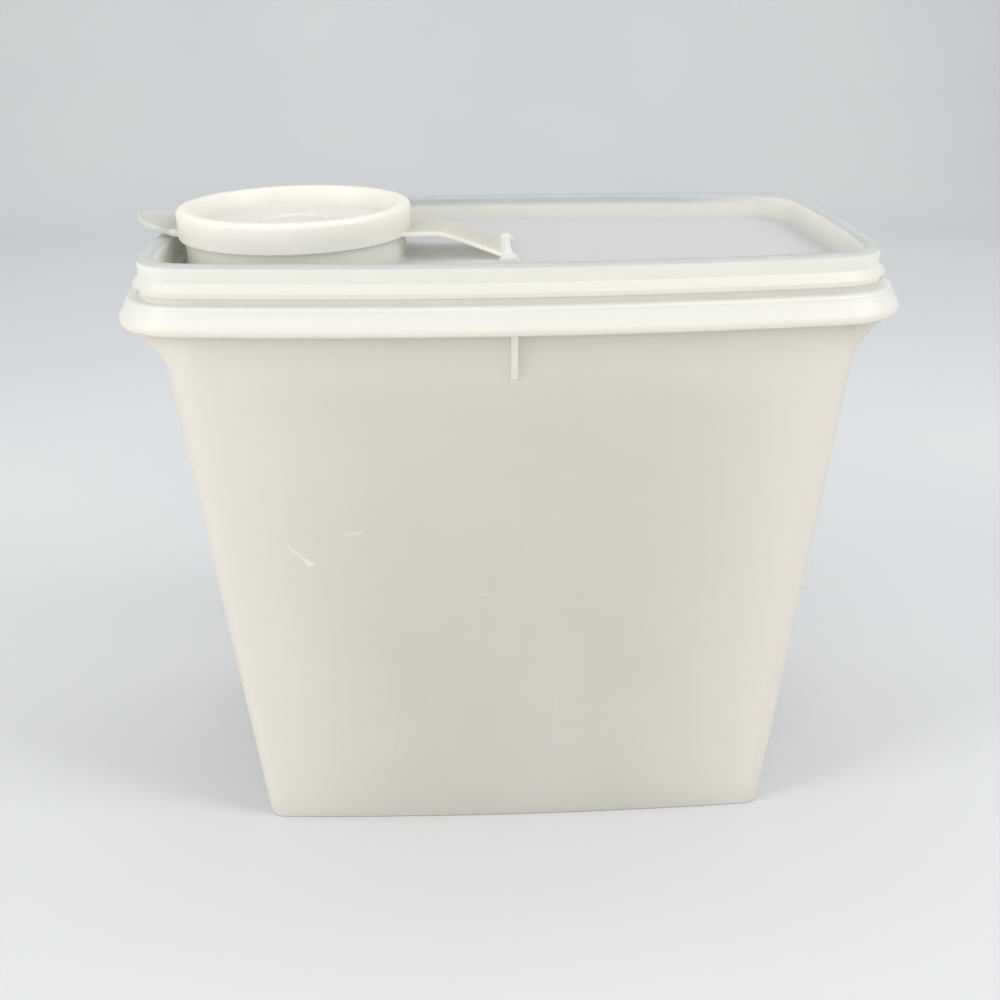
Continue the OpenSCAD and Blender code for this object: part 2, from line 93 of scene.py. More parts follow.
# Strap
STRAP_T, STRAP_W, STRAP_WAIST, STRAP_LEVEL, STRAP_FOOT = 1.2, 24.6, 2.4, 4.6, 2.4
STRAP_EASE, STRAP_EDGE, HINGE_REACH = 0.35, 0.5, 1.4
PIN_X, BARREL_R, BARREL_EDGE, PIN_R, PIN_EDGE, PIN_GAP = 0.5, 1.0, 0.3, 0.7, 0.2, 0.05
STRAP_START, ROOT_THIN = -33.0, 0.05
KNUCKLE_T, KNUCKLE_L, KNUCKLE_WALL, STRAP_GAP = 2.8, 6.6, 0.6, 0.4
KNUCKLE_FOOT, KNUCKLE_EDGE, KNUCKLE_CLOSED, KNUCKLE_FLAT = 0.4, 0.6, 0.8, 1.1
NUB_R, NUB_X, NUB_Y = 1.3, 9.0, 6.4

# Radius of small edges, and how deep a piece is sunk into what it joins
SOFT, JOIN = 0.4, 0.5

# Heights and places that the pieces share
LID_Z = SEAT_Z + SEAT_GAP
RIM_Z = LID_Z + LID_H
PANEL_Z = RIM_Z - RECESS_H
COLLAR_Z = PANEL_Z + COLLAR_H
CAP_Z = COLLAR_Z - CAP_OVERLAP
CAP_TOP = CAP_Z + CAP_H
SHOULDER_Z = SEAT_Z - SHOULDER_DROP
SHOULDER_TOP = SEAT_Z - SKIRT_DROP - SHOULDER_GAP
BEAD_IN = BEAD_OUT - LID_T - BEAD_EXTRA
NECK_OUT = BEAD_OUT - LID_T
LIP_WIDE = BEAD_IN - LIP_GAP
LIP_THIN = -LID_T - LIP_GAP
LIP_IN = LID_T - RIM_W + LIP_GAP
PANEL_IN = RIM_W + RECESS_FILLET + 2
ROOF_Z = RIM_Z - LID_T
LIP_TOP = ROOF_Z - SEAT_GAP
CAP_R = COLLAR_R + CAP_GAP + CAP_T
BORE_R = COLLAR_R - COLLAR_T
HINGE_X = -SPOUT_X + CAP_R + HINGE_REACH
HINGE_Z = CAP_Z + STRAP_T / 2
PIN_Z = PANEL_Z + SEAT_GAP + BARREL_R
KNUCKLE_Y = STRAP_W / 2 + STRAP_GAP
PIN_END = KNUCKLE_Y + KNUCKLE_T - KNUCKLE_CLOSED

# Steps of half a long side, a corner up to its crease and past it, and half an end
SIDE_N, CORNER_N, CREASE_N, END_N = 26, 16, 8, 14
# Steps of a full turn, the tub's straight wall, its shoulders, a knuckle, the strap and its width
ROUND_N, WALL_N, SHOULDER_N, KNUCKLE_N, STRAP_N, STRAP_WIDE_N = 256, 16, 6, 28, 66, 12
# Edges sharper than this stay sharp in the shading
SHARP = math.radians(28)
# Points nearer than this, in millimetres, are one point
SAME = 1e-4


def lerp(u, v, t):
    return u + (v - u) * t


def arc(cx, cy, r, start, end, n=6):
    """Points along an arc, angles in degrees, with both ends."""
    angles = [math.radians(lerp(start, end, i / n)) for i in range(n + 1)]
    return [(cx + r * math.cos(a), cy + r * math.sin(a)) for a in angles]


def arc_radius(half, sag):
    return half * half / (2 * sag) + sag / 2


def quarter(a, b, bow_l, bow_e, r, crease):
    """Plan outline from the middle of the front to the middle of the right end."""
    side_r, end_r = arc_radius(a, bow_l), arc_radius(b, bow_e)
    side_c, end_c = Vector((0, side_r - b)), Vector((a - end_r, 0))
    away = end_c - side_c
    gap = away.length
    along = away / gap
    near = ((side_r - r) ** 2 - (end_r - r) ** 2 + gap ** 2) / (2 * gap)
    aside = math.sqrt((side_r - r) ** 2 - near ** 2)
    c = side_c + along * near + aside * Vector((-along.y, along.x))
    side_end = math.degrees(math.atan2(c.y - side_c.y, c.x - side_c.x))
    end_start = math.degrees(math.atan2(c.y - end_c.y, c.x - end_c.x))
    fold = -math.degrees(math.acos(max(-1.0, min(1.0, (crease - c.x) / r))))
    fold = min(max(fold, side_end + 1), end_start - 1)
    return (
        arc(side_c.x, side_c.y, side_r, -90, side_end, SIDE_N)[:-1]
        + arc(c.x, c.y, r, side_end, fold, CORNER_N)[:-1]
        + arc(c.x, c.y, r, fold, end_start, CREASE_N)[:-1]
        + arc(end_c.x, end_c.y, end_r, end_start, 0, END_N)
    )


def ring(section):
    """Whole outline of a section: z, half length, half depth, bows, corner, crease and flare."""
    z, a, b, bow_l, bow_e, r, crease, flare = section
    q = []
    for x, y in quarter(a, b, bow_l, bow_e, r, crease):
        if flare and x > crease:
            reach, power = flare
            x = lerp(crease, reach, ((x - crease) / (a - crease)) ** power)
        q.append((x, y))
    half = q + [(x, -y) for x, y in reversed(q[:-1])]
    return [(x, y, z) for x, y in half + [(-x, y) for x, y in reversed(half[1:-1])]]


def rim_section(out, z):
    a = RIM_L / 2 + out
    return (z, a, RIM_D / 2 + out, RIM_BOW_L, RIM_BOW_E, RIM_CORNER + out, a - SHOULDER_IN, None)


def wall_section(z, inset, crease=None, flare=None):
    t = z / SHOULDER_Z
    a = lerp(BASE_L, SHOULDER_L, t) / 2 - inset
    return (
        z, a, lerp(BASE_D, SHOULDER_D, t) / 2 - inset,
        lerp(BASE_BOW_L, SHOULDER_BOW_L, t), lerp(BASE_BOW_E, SHOULDER_BOW_E, t),
        max(lerp(BASE_CORNER, SHOULDER_CORNER, t) - inset, SOFT), crease or a - SHOULDER_IN, flare,
    )


def shoulder_section(t, inset, sink, turn_in=0.0):
    """Section of the flared shoulders, from their start, t = 0, to their top, t = 1."""
    z = lerp(SHOULDER_Z, SHOULDER_TOP, t)
    crease = SHOULDER_L / 2 - SHOULDER_IN - inset
    reach = lerp(SHOULDER_L / 2, RIM_L / 2 + SHOULDER_OUT, t) - inset - turn_in
    s = wall_section(z, inset, crease, (reach, lerp(1, SHOULDER_ROUND, t)))
    return (z - sink,) + s[1:]


def tidy(points):
    """Profile points without the ones that repeat the point before."""
    kept = [points[0]]
    for p in points[1:]:
        if math.dist(p, kept[-1]) > SAME:
            kept.append(p)
    return kept


def loft(bm, rings, closed=False):
    """Quads between rings of points in millimetres."""
    rows = [[bm.verts.new([v * MM for v in p]) for p in points] for points in rings]
    n = len(rows[0])
    for a, b in zip(rows, rows[1:] + rows[:1] if closed else rows[1:]):
        for j in range(n):
            bm.faces.new((a[j], a[(j + 1) % n], b[(j + 1) % n], b[j]))
    return rows


def revolve(bm, profile, cx, n=ROUND_N, closed=False):
    """Surface of revolution about a vertical axis; a radius of 0 closes it with a fan."""
    turns = [(math.cos(2 * math.pi * j / n), math.sin(2 * math.pi * j / n)) for j in range(n)]
    rings = [[(cx + r * c, r * s, z) for c, s in turns] for r, z in profile if r > 0]
    rows = loft(bm, rings, closed)
    for r, z, row in ((*profile[0], rows[0]), (*profile[-1], rows[-1])):
        if r == 0:
            hub = bm.verts.new((cx * MM, 0, z * MM))
            for j in range(n):
                bm.faces.new((row[j], row[(j + 1) % n], hub))
    return rows


def prism(bm, outline, depth, place, round_off=0.0):
    """Extruded outline in the plane of X and Y, from z = 0 to depth, moved by the matrix place."""
    low = [bm.verts.new(place @ Vector((x, y, 0)) * MM) for x, y in outline]
    high = [bm.verts.new(place @ Vector((x, y, depth)) * MM) for x, y in outline]
    n = len(outline)
    bm.faces.new(low[::-1])
    bm.faces.new(high)
    for j in range(n):
        bm.faces.new((low[j], low[(j + 1) % n], high[(j + 1) % n], high[j]))
    if round_off:
        edges = [e for e in bm.edges if e.calc_face_angle(0) > SHARP]
        width = round_off * MM
        bmesh.ops.bevel(bm, geom=edges, offset=width, segments=3, profile=0.5, affect="EDGES")


def new_object(name, bm):
    bmesh.ops.recalc_face_normals(bm, faces=bm.faces)
    if bm.calc_volume(signed=True) < 0:
        bmesh.ops.reverse_faces(bm, faces=bm.faces)
    mesh = bpy.data.meshes.new(name)
    bm.to_mesh(mesh)
    bm.free()
    obj = bpy.data.objects.new(name, mesh)
    bpy.context.scene.collection.objects.link(obj)
    return obj


def combine(obj, tool, operation):
    """Joins or cuts obj with tool, applies the result and deletes the tool."""
    mod = obj.modifiers.new("combine", "BOOLEAN")
    mod.operation, mod.solver, mod.object = operation, "EXACT", tool
    bpy.context.view_layer.update()
    shaped = obj.evaluated_get(bpy.context.evaluated_depsgraph_get())
    mesh = bpy.data.meshes.new_from_object(shaped)
    obj.modifiers.clear()
    obj.data = mesh
    mesh.name = obj.name
    bpy.data.objects.remove(tool)


def finish_piece(obj, body, node, mat):
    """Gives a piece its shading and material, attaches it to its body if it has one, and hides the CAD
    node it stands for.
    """
    mesh = obj.data
    mesh.shade_smooth()
    mesh.set_sharp_from_angle(angle=SHARP)
    mesh.materials.clear()
    mesh.materials.append(mat)
    weighted = obj.modifiers.new("weighted", "WEIGHTED_NORMAL")
    weighted.keep_sharp = True
    if body:
        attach(obj, body)
    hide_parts(node)


# Tub

def skirt_face(drop):
    """How far out the skirt's outer face lies at a drop below the seat."""
    top = SKIRT_TOP_DROP + SKIRT_EDGE
    return lerp(SKIRT_TOP_OUT, SKIRT_OUT, (drop - top) / (SKIRT_WIDE_DROP - top))


def skirt_profile():
    root, low = SEAT_Z - SKIRT_ROOT_DROP, SEAT_Z - SKIRT_DROP
    wide, top = SEAT_Z - SKIRT_WIDE_DROP, SEAT_Z - SKIRT_TOP_DROP
    half = SKIRT_T / 2
    slope = math.degrees(math.atan(skirt_face(1) - skirt_face(0)))
    bend_drop = SKIRT_BEND * math.tan(math.radians(slope / 2))
    return (
        [(NECK_OUT, root), (skirt_face(SKIRT_ROOT_DROP) - SKIRT_T, root), (SKIRT_OUT - SKIRT_T, wide)]
        + arc(SKIRT_OUT - half - SKIRT_TIP_IN, low + half, half, 180, 360, 12)
        + arc(SKIRT_OUT - SKIRT_BEND, wide - bend_drop, SKIRT_BEND, 0, slope, 8)
        + arc(SKIRT_TOP_OUT - SKIRT_EDGE, top - SKIRT_EDGE, SKIRT_EDGE, 0, 90, 8)
        + [(NECK_OUT, top), (NECK_OUT, SEAT_Z), (LIP_WIDE, SEAT_Z), (LIP_WIDE, SEAT_Z + BEAD_H)]
        + [(LIP_THIN, SEAT_Z + RIM_FOOT - LIP_GAP)]
        + arc(LIP_THIN - SOFT, LIP_TOP - SOFT, SOFT, 0, 90, 4)
        + arc(LIP_IN + SOFT, LIP_TOP - SOFT, SOFT, 90, 180, 4)
        + [(LIP_IN, SEAT_Z - 1), (NECK_OUT - WALL_T, root)]
    )


def rib_mesh(bm, side):
    wall, neck = SHOULDER_D / 2 - JOIN, RIM_D / 2 + NECK_OUT - JOIN
    out = RIM_D / 2 - SKIRT_T / 2
    low, root = SEAT_Z - SKIRT_DROP, SEAT_Z - SKIRT_ROOT_DROP
    outline = [
        (wall, low - RIB_H), (SHOULDER_D / 2 + SOFT, low - RIB_H + 1), (out + SKIRT_OUT - 1, low),
        (out + SKIRT_OUT, low + 1), (out + SKIRT_OUT, SEAT_Z - SKIRT_WIDE_DROP),
        (out + skirt_face(SKIRT_ROOT_DROP), root + JOIN), (neck, root + JOIN), (neck, root),
        (wall, SHOULDER_TOP),
    ]
    # Plane of the outline: its X is the distance outwards and its Y is the height
    place = Matrix(((0, 0, 1, -RIB_T / 2), (side, 0, 0, 0), (0, 1, 0, 0), (0, 0, 0, 1)))
    prism(bm, outline, RIB_T, place, RIB_EDGE)


def make_tub(mat):
    bm = bmesh.new()
    f, z0 = FLOOR_FILLET, FOOT_H + FLOOR_T
    sections = [
        wall_section(FOOT_H, BASE_EDGE + FOOT_W + FOOT_H),
        wall_section(0, BASE_EDGE + FOOT_W),
    ]
    sections += [wall_section(z, x) for x, z in arc(BASE_EDGE, BASE_EDGE, BASE_EDGE, 270, 180, 8)]
    sections += [wall_section(SHOULDER_Z * i / WALL_N, 0) for i in range(1, WALL_N)]
    sections += [shoulder_section(i / SHOULDER_N, 0, 0) for i in range(SHOULDER_N + 1)]
    sections += [shoulder_section(1, 0, -SHOULDER_GAP / 2, WALL_T)]
    sections += [rim_section(*p) for p in tidy(skirt_profile())]
    sections += [
        shoulder_section(1 - i / SHOULDER_N, WALL_T, SHOULDER_SINK) for i in range(SHOULDER_N + 1)
    ]
    sections += [wall_section(SHOULDER_Z * i / WALL_N, WALL_T) for i in range(WALL_N - 1, 1, -1)]
    sections += [wall_section(z, x) for x, z in arc(WALL_T + f, z0 + f, f, 180, 270, 8)]
    rows = loft(bm, [ring(s) for s in sections])
    bm.faces.new(rows[0])
    bm.faces.new(rows[-1])
    obj = new_object("tub", bm)
    for side in (-1, 1):
        rib = bmesh.new()
        rib_mesh(rib, side)
        combine(obj, new_object("rib", rib), "UNION")
    finish_piece(obj, "container", "container", mat)


# Lid

def rim_profile():
    inner_t, under = RECESS_FILLET + LID_T, PANEL_Z - PANEL_T
    return (
        [(-PANEL_IN, under)]
        + arc(LID_T - RIM_W - inner_t, under + inner_t, inner_t, -90, 0, 8)
        + [(LID_T - RIM_W, ROOF_Z), (-LID_T, ROOF_Z), (-LID_T, LID_Z + RIM_FOOT - SOFT)]
        + [(BEAD_IN, LID_Z + BEAD_H), (BEAD_IN, LID_Z)]
        + arc(BEAD_OUT - SOFT, LID_Z + SOFT, SOFT, -90, 0, 5)
        + arc(BEAD_OUT - SOFT, LID_Z + BEAD_H, SOFT, 0, 50, 4)
        + [(0, LID_Z + RIM_FOOT)]
        + arc(-RIM_EDGE, RIM_Z - RIM_EDGE, RIM_EDGE, 0, 90, 8)
        + arc(RIM_EDGE - RIM_W, RIM_Z - RIM_EDGE, RIM_EDGE, 90, 180, 8)
        + arc(-RIM_W - RECESS_FILLET, PANEL_Z + RECESS_FILLET, RECESS_FILLET, 0, -90, 8)
        + [(-PANEL_IN, PANEL_Z)]
    )


def fill_panel(bm, outer, hole, cx, r):
    """Triangles between an outer ring of vertices and a round hole, over a grid of inner points."""
    z = outer[0].co.z
    edge = [v.co.xy.copy() for v in outer]
    rim = [v.co.xy.copy() for v in hole]
    middle, step = Vector((cx * MM, 0)), GRID * MM
    inner = []
    for i in range(-GRID_X, GRID_X + 1):
        for j in range(-GRID_Y, GRID_Y + 1):
            p = Vector((i * step, j * step))
            if (p - middle).length < (r + GRID_CLEAR) * MM:
                continue
            if min((p - e).length for e in edge) < GRID_CLEAR * MM or not inside(p, edge):
                continue
            inner.append(p)
    points = edge + rim + inner
    n, m = len(edge), len(rim)
    lines = [(i, (i + 1) % n) for i in range(n)] + [(n + i, n + (i + 1) % m) for i in range(m)]
    verts, _, faces, origin, _, _ = delaunay_2d_cdt(points, lines, [], 0, SAME * MM)
    known = list(outer) + list(hole)
    made = []
    for v, source in zip(verts, origin):
        k = source[0] if source else len(points)
        made.append(known[k] if k < len(known) else bm.verts.new((v.x, v.y, z)))
    for face in faces:
        centre = sum((verts[i] for i in face), Vector((0, 0))) / 3
        # A face's centre lies inside the polygon of the hole's rim only where the hole is
        if (centre - middle).length > r * MM * 0.9995:
            bm.faces.new([made[i] for i in face])


def inside(p, loop):
    """True if p is inside a convex loop that runs counter-clockwise."""
    for a, b in zip(loop, loop[1:] + loop[:1]):
        if (b - a).cross(p - a) < 0:
            return False
    return True


def knuckle_mesh(bm, side):
    """A soft hump on the panel that holds one end of the strap's pin."""
    low, high = PANEL_Z - PIN_Z - JOIN, PIN_R + PIN_GAP + KNUCKLE_WALL
    foot = PANEL_Z - PIN_Z + KNUCKLE_FOOT
    outline = [(-KNUCKLE_L / 2, low), (KNUCKLE_L / 2, low)]
    for i in range(KNUCKLE_N + 1):
        t = i / KNUCKLE_N
        rise = math.sin(math.pi * t) ** KNUCKLE_FLAT
        outline.append((KNUCKLE_L * (0.5 - t), lerp(foot, high, rise)))
    y = side * KNUCKLE_Y + (KNUCKLE_T if side > 0 else 0)
    place = Matrix(((1, 0, 0, PIN_X), (0, 0, -1, y), (0, 1, 0, PIN_Z), (0, 0, 0, 1)))
    prism(bm, outline, KNUCKLE_T, place, KNUCKLE_EDGE)


def bore_mesh(bm):
    """The blind bores of both knuckles, as one pin."""
    long = PIN_END + PIN_GAP
    place = Matrix(((1, 0, 0, PIN_X), (0, 0, -1, long), (0, 1, 0, PIN_Z), (0, 0, 0, 1)))
    prism(bm, arc(0, 0, PIN_R + PIN_GAP, 0, 360, 48)[:-1], 2 * long, place)


def make_lid(mat):
    bm = bmesh.new()
    rows = loft(bm, [ring(rim_section(*p)) for p in tidy(rim_profile())])
    foot_r = COLLAR_R + COLLAR_FILLET
    collar = (
        arc(foot_r, PANEL_Z + COLLAR_FILLET, COLLAR_FILLET, 270, 180, 8)
        + arc(COLLAR_R - SOFT, COLLAR_Z - SOFT, SOFT, 0, 90, 5)
        + arc(BORE_R + SOFT, COLLAR_Z - SOFT, SOFT, 90, 180, 5)
        + [(BORE_R, PANEL_Z - PANEL_T)]
    )
    turns = revolve(bm, tidy(collar), -SPOUT_X)
    fill_panel(bm, rows[-1], turns[0], -SPOUT_X, foot_r)
    fill_panel(bm, rows[0], turns[-1], -SPOUT_X, BORE_R)
    obj = new_object("lid_seal", bm)
    for side in (-1, 1):
        knuckle = bmesh.new()
        knuckle_mesh(knuckle, side)
        combine(obj, new_object("knuckle", knuckle), "UNION")
    bore = bmesh.new()
    bore_mesh(bore)
    combine(obj, new_object("bore", bore), "DIFFERENCE")
    finish_piece(obj, "lid", "lid", mat)


# Strap

def strap_z(x):
    """Height of the strap's middle: level beside the cap, then a curve, then straight."""
    start, end = HINGE_X + STRAP_LEVEL, PIN_X - STRAP_FOOT
    t = max(0.0, min(1.0, (x - start) / (end - start)))
    way = t * t / (2 * STRAP_EASE) if t < STRAP_EASE else t - STRAP_EASE / 2
    return lerp(HINGE_Z, PIN_Z, way / (1 - STRAP_EASE / 2))


def strap_half(x):
    """Half the strap's width, which is narrowest in its middle."""
    t = (x - HINGE_X) / (PIN_X - HINGE_X)
    return STRAP_W / 2 - 2 * STRAP_WAIST * max(0.0, t) * (1 - t)


def strap_ring(x):
    """Section of the strap at x, square to its slope, with rounded edges."""
    half, t, edge, step = strap_half(x), STRAP_T / 2, STRAP_EDGE, 0.01
    if x < HINGE_X:
        t -= ROOT_THIN
    slope = (strap_z(x + step) - strap_z(x - step)) / (2 * step)
    side = arc(half - edge, t - edge, edge, 90, 0, 5) + arc(half - edge, edge - t, edge, 0, -90, 5)
    across = [half * (1 - 2 * k / STRAP_WIDE_N) - edge for k in range(1, STRAP_WIDE_N)]
    across = [y for y in across if abs(y) < half - edge]
    section = side + [(y, -t) for y in across]
    section += [(-y, z) for y, z in reversed(side)]
    section += [(-y, t) for y in across]
    lean = 1 / math.sqrt(1 + slope * slope)
    return [(x - z * slope * lean, y, strap_z(x) + z * lean) for y, z in section]


def rod(r, half, edge, n):
    """A round bar about the pin's axis, with rounded ends."""
    bm = bmesh.new()
    profile = [(0, -half)] + arc(r - edge, edge - half, edge, -90, 0, 4)
    profile += arc(r - edge, half - edge, edge, 0, 90, 4) + [(0, half)]
    revolve(bm, tidy(profile), 0, n)
    turn = Matrix.Translation((PIN_X * MM, 0, PIN_Z * MM)) @ Matrix.Rotation(math.pi / 2, 4, "X")
    bmesh.ops.transform(bm, matrix=turn, verts=bm.verts)
    return new_object("rod", bm)


def make_strap(mat):
    """The strap from inside the cap's skirt to its barrel, with the pin and the nub."""
    bm = bmesh.new()
    rings = [strap_ring(lerp(STRAP_START, PIN_X, i / STRAP_N)) for i in range(STRAP_N + 1)]
    rows = loft(bm, rings)
    bm.faces.new(rows[0])
    bm.faces.new(rows[-1])
    obj = new_object("strap_web", bm)
    combine(obj, cap_core(), "DIFFERENCE")
    combine(obj, rod(BARREL_R, STRAP_W / 2, BARREL_EDGE, 64), "UNION")
    combine(obj, rod(PIN_R, PIN_END, PIN_EDGE, 48), "UNION")
    nub = bmesh.new()
    x = HINGE_X + NUB_X
    bmesh.ops.create_uvsphere(nub, u_segments=32, v_segments=20, radius=NUB_R * MM)
    spot = Vector((x, -NUB_Y, strap_z(x) + (STRAP_T - NUB_R) / 2)) * MM
    bmesh.ops.translate(nub, vec=spot, verts=nub.verts)
    combine(obj, new_object("nub", nub), "UNION")
    finish_piece(obj, None, "hinge_strap", mat)
    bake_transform(obj)


# Flip cap

def dish_r(z):
    """Outer radius of the dish, which fits inside the collar with a lean."""
    return BORE_R - DISH_GAP + DISH_LEAN * (z - COLLAR_Z)


def cap_profile():
    floor = CAP_TOP - DISH_H
    under, edge_z = floor - CAP_T, CAP_TOP - DISH_EDGE
    edge_r = dish_r(edge_z) - CAP_T + DISH_EDGE
    return (
        [(0, floor)]
        + [(RING_R - RING_W - RING_SLOPE, floor)]
        + arc(RING_R - RING_W + RING_EDGE, floor + RING_H - RING_EDGE, RING_EDGE, 180, 90, 4)
        + arc(RING_R - RING_EDGE, floor + RING_H - RING_EDGE, RING_EDGE, 90, 0, 4)
        + [(RING_R + RING_SLOPE, floor)]
        + arc(dish_r(floor) - CAP_T - DISH_FILLET, floor + DISH_FILLET, DISH_FILLET, 270, 340, 6)
        + arc(edge_r, edge_z, DISH_EDGE, 160, 90, 8)
        + arc(CAP_R - CAP_EDGE, CAP_TOP - CAP_EDGE, CAP_EDGE, 90, 0, 10)
        + arc(CAP_R - SOFT, CAP_Z + SOFT, SOFT, 0, -90, 5)
        + [(CAP_R - CAP_T, CAP_Z), (CAP_R - CAP_T, CAP_TOP - CAP_T)]
        + [(dish_r(CAP_TOP - CAP_T), CAP_TOP - CAP_T), (dish_r(under + SOFT), under + SOFT)]
        + [(dish_r(under) - SOFT, under), (0, under)]
    )


def tab_profile():
    """Half section of the thumb tab: a thin disc with a raised, rounded edge."""
    top = TAB_T + TAB_BEAD_H
    r = TAB_BEAD_W / 2
    return (
        [(0, 0)]
        + arc(TAB_R - r, r, r, -90, 0, 6)
        + arc(TAB_R - r, top - r, r, 0, 150, 9)
        + [(TAB_R - TAB_BEAD_W - TAB_BEAD_SLOPE, TAB_T)]
        + [(0, TAB_T)]
    )


def cap_core():
    """A cylinder up to the middle of the skirt's wall, which trims what is joined outside it."""
    bm = bmesh.new()
    r = CAP_R - CAP_T / 2
    low, high = CAP_Z - CAP_H, CAP_TOP + CAP_H
    revolve(bm, [(0, low), (r, low), (r, high), (0, high)], -SPOUT_X)
    return new_object("core", bm)


def make_cap(mat):
    bm = bmesh.new()
    revolve(bm, tidy(cap_profile()), -SPOUT_X)
    obj = new_object("cap_lid", bm)

    tab = bmesh.new()
    revolve(tab, tidy(tab_profile()), 0, 160)
    out = CAP_R + TAB_REACH - TAB_R * math.cos(math.radians(TAB_RISE))
    place = Matrix.Translation(Vector((-SPOUT_X - out, 0, CAP_Z + TAB_Z)) * MM)
    place @= Matrix.Rotation(math.radians(TAB_RISE), 4, "Y")
    bmesh.ops.transform(tab, matrix=place, verts=tab.verts)
    tab = new_object("tab", tab)
    combine(tab, cap_core(), "DIFFERENCE")
    combine(obj, tab, "UNION")
    finish_piece(obj, "cap", "flip_cap", mat)


# Materials

class Nodes:
    """Short names for the nodes of one material."""

    def __init__(self, name):
        self.mat = bpy.data.materials.new(name)
        self.mat.use_nodes = True
        self.tree = self.mat.node_tree
        self.bsdf = self.tree.nodes["Principled BSDF"]
        self.out = self.tree.nodes["Material Output"]

    def put(self, socket, value):
        """Links a node's output to the socket, or sets the socket to a plain value."""
        if isinstance(value, bpy.types.NodeSocket):
            self.tree.links.new(value, socket)
        else:
            socket.default_value = value

    def math(self, operation, *values):
        node = self.tree.nodes.new("ShaderNodeMath")
        node.operation = operation
        for socket, value in zip(node.inputs, values):
            self.put(socket, value)
        return node.outputs[0]

    def place(self):
        """The point on the surface in metres, in the frame that all pieces share."""
        return self.tree.nodes.new("ShaderNodeTexCoord").outputs["Object"]

    def stretched(self, scale):
        node = self.tree.nodes.new("ShaderNodeMapping")
        self.put(node.inputs["Vector"], self.place())
        node.inputs["Scale"].default_value = scale
        return node.outputs[0]

    def axes(self):
        node = self.tree.nodes.new("ShaderNodeSeparateXYZ")
        self.put(node.inputs[0], self.place())
        return node.outputs

    def noise(self, scale, detail=2.0, rough=0.5, vector=None):
        node = self.tree.nodes.new("ShaderNodeTexNoise")
        self.put(node.inputs["Vector"], vector or self.place())
        node.inputs["Scale"].default_value = scale
        node.inputs["Detail"].default_value = detail
        node.inputs["Roughness"].default_value = rough
        return node.outputs["Fac"]

    def ease(self, value, low, high, to_low=0.0, to_high=1.0):
        """Turns low to high into to_low to to_high, smoothly, and holds both ends."""
        node = self.tree.nodes.new("ShaderNodeMapRange")
        node.interpolation_type = "SMOOTHSTEP"
        for socket, v in zip(node.inputs, (value, low, high, to_low, to_high)):
            self.put(socket, v)
        return node.outputs[0]

    def fade(self, value, low, high):
        """Mask that goes from 0 at low to 1 at high, both in millimetres."""
        return self.ease(value, low * MM, high * MM)

    def times(self, a, b):
        return self.math("MULTIPLY", a, b)

    def mix(self, factor, a, b):
        node = self.tree.nodes.new("ShaderNodeMix")
        node.data_type = "RGBA"
        self.put(node.inputs["Factor"], factor)
        self.put(node.inputs["A"], a)
        self.put(node.inputs["B"], b)
        return node.outputs["Result"]

    def bump(self, height, strength, distance, normal=None):
        node = self.tree.nodes.new("ShaderNodeBump")
        node.inputs["Strength"].default_value = strength
        node.inputs["Distance"].default_value = distance
        self.put(node.inputs["Height"], height)
        if normal is not None:
            self.put(node.inputs["Normal"], normal)
        return node.outputs[0]


def linear(r, g, b):
    """A colour written as 0 to 255 on the screen, as the shader wants it."""
    def curve(v):
        v /= 255
        return v / 12.92 if v <= 0.04045 else ((v + 0.055) / 1.055) ** 2.4
    return (curve(r), curve(g), curve(b), 1)


# Scuffs on the front wall: start and end as x and z in metres, width and strength
SCUFFS = (
    ((-0.0675, 0.1047), (-0.0617, 0.0989), 0.0011, 0.55),
    ((-0.0622, 0.0994), (-0.0613, 0.0986), 0.0015, 1.0),
    ((-0.0500, 0.1086), (-0.0455, 0.1095), 0.0009, 0.5),
)
FRONT_Y = -0.04
# Faint scuffs on both long walls: how many, and their width
FAINT_N, FAINT_W = 9, 0.0005


def scratch(n, start, end, width):
    """Mask of one short scuff on the front or the back wall, from start to end, as (x, z)."""
    x, _, z = n.axes()
    shake = n.times(n.math("SUBTRACT", n.noise(700, 2), 0.5), 2 * width)
    (x0, z0), (x1, z1) = start, end
    dx, dz = x1 - x0, z1 - z0
    square = dx * dx + dz * dz
    px, pz = n.math("SUBTRACT", n.math("ADD", x, shake), x0), n.math("SUBTRACT", z, z0)
    along = n.math("MULTIPLY_ADD", pz, dz / square, n.times(px, dx / square))
    along = n.math("MINIMUM", n.math("MAXIMUM", along, 0), 1)
    off_x = n.math("SUBTRACT", px, n.times(along, dx))
    off_z = n.math("SUBTRACT", pz, n.times(along, dz))
    away = n.math("SQRT", n.math("ADD", n.times(off_x, off_x), n.times(off_z, off_z)))
    return n.ease(away, width, 0)


def wear(n):
    """Scuffs of the tub: the ones that show on the front, and faint ones from a seeded draw."""
    marks = 0.0
    for start, end, width, strength in SCUFFS:
        mark = n.times(scratch(n, start, end, width), strength)
        marks = n.math("MAXIMUM", marks, mark)
    marks = n.times(marks, n.math("LESS_THAN", n.axes()[1], FRONT_Y))
    draw = random.Random(11)
    for _ in range(FAINT_N):
        x, z = draw.uniform(-0.075, 0.075), draw.uniform(0.02, 0.14)
        turn, long = draw.uniform(0, math.pi), draw.uniform(0.003, 0.011)
        end = (x + long * math.cos(turn), z + long * math.sin(turn))
        mark = n.times(scratch(n, (x, z), end, FAINT_W), draw.uniform(0.07, 0.2))
        marks = n.math("MAXIMUM", marks, mark)
    return marks


